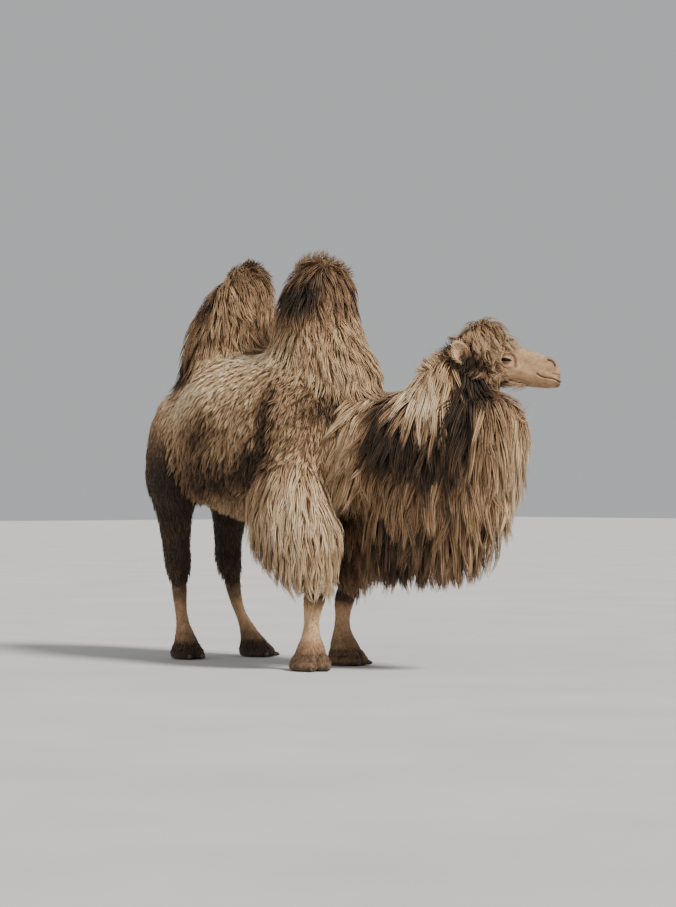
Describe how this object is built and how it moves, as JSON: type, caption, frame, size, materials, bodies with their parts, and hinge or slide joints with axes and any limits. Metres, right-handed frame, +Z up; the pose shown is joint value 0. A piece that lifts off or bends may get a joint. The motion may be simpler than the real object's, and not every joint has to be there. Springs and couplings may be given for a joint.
{
  "type": "bactrian camel",
  "caption": "Still life-size two-humped camel in full winter coat, standing with its head turned to its left.",
  "frame": {"origin": "on the floor, at the middle of the box that the camel fills seen from above", "axes": "+X the way the body faces, +Y its left, +Z up; the head is turned to the left of +X"},
  "size_m": [2.4132, 1.147, 2.17],
  "materials": {
    "body_coat": "woolly brown coat, matt",
    "mane_hair": "long darker hair, slightly silky",
    "leg_coat": "dark brown hair, matt",
    "face_coat": "short pale fur, matt",
    "foot_pad": "worn leathery skin and short hair",
    "nail": "dull dark horn",
    "eye": "wet, dark brown"
  },
  "bodies": {
    "root": {"trunk": "body_coat", "hump_front": "body_coat", "hump_rear": "body_coat", "neck": "body_coat", "mane": "mane_hair", "tail": "mane_hair", "head": "face_coat", "jaw": "face_coat", "ear_left": "face_coat", "ear_right": "face_coat", "eye_left": "eye", "eye_right": "eye", "upper_leg_front_right": "leg_coat", "lower_leg_front_right": "leg_coat", "foot_front_right": "foot_pad", "nail_inner_front_right": "nail", "nail_outer_front_right": "nail", "upper_leg_front_left": "leg_coat", "lower_leg_front_left": "leg_coat", "foot_front_left": "foot_pad", "nail_inner_front_left": "nail", "nail_outer_front_left": "nail", "upper_leg_hind_right": "leg_coat", "lower_leg_hind_right": "leg_coat", "foot_hind_right": "foot_pad", "nail_inner_hind_right": "nail", "nail_outer_hind_right": "nail", "upper_leg_hind_left": "leg_coat", "lower_leg_hind_left": "leg_coat", "foot_hind_left": "foot_pad", "nail_inner_hind_left": "nail", "nail_outer_hind_left": "nail"}
  },
  "joints": []
}
